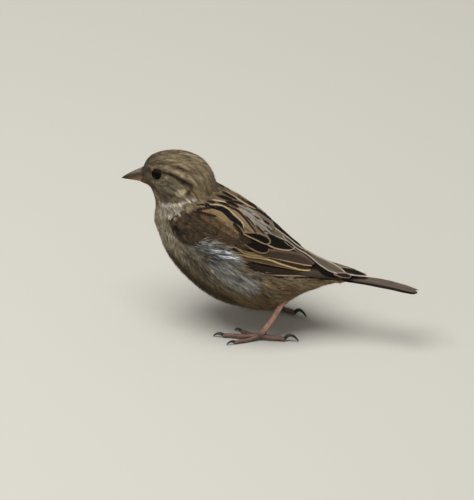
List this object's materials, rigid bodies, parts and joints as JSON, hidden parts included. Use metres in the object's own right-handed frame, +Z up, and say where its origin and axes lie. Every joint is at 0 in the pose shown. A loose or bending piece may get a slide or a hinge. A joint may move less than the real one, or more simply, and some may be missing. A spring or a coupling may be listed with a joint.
{
  "type": "house sparrow model",
  "caption": "Life-size still model of a female house sparrow standing on both feet, wings folded and tail level.",
  "frame": {"origin": "on the floor, under the middle of the bird's bounding box", "axes": "+Z up, +X from the bill towards the tail, +Y to the bird's right"},
  "size_m": [0.1356, 0.0502, 0.0815],
  "materials": {
    "body_plumage": "soft matt grey-brown feathers, streaked on the back and plain buff-grey below",
    "wing_plumage": "dark brown feathers with buff edges",
    "tail_plumage": "grey-brown feathers with paler edges",
    "bill_horn": "satin grey-brown horn, yellowish below and at the gape",
    "eye": "wet dark brown, nearly black",
    "leg_scale": "pinkish brown scales",
    "claw_horn": "dark brown satin horn"
  },
  "bodies": {
    "root": {"head": "body_plumage", "neck": "body_plumage", "trunk": "body_plumage", "left_thigh": "body_plumage", "right_thigh": "body_plumage", "left_wing": "wing_plumage", "left_wing_tip": "wing_plumage", "right_wing": "wing_plumage", "right_wing_tip": "wing_plumage", "tail": "tail_plumage", "bill_upper": "bill_horn", "bill_lower": "bill_horn", "left_eye": "eye", "right_eye": "eye", "left_shank": "leg_scale", "left_outer_toe": "leg_scale", "left_outer_claw": "claw_horn", "left_middle_toe": "leg_scale", "left_middle_claw": "claw_horn", "left_inner_toe": "leg_scale", "left_inner_claw": "claw_horn", "left_hind_toe": "leg_scale", "left_hind_claw": "claw_horn", "right_shank": "leg_scale", "right_outer_toe": "leg_scale", "right_outer_claw": "claw_horn", "right_middle_toe": "leg_scale", "right_middle_claw": "claw_horn", "right_inner_toe": "leg_scale", "right_inner_claw": "claw_horn", "right_hind_toe": "leg_scale", "right_hind_claw": "claw_horn"}
  },
  "joints": []
}
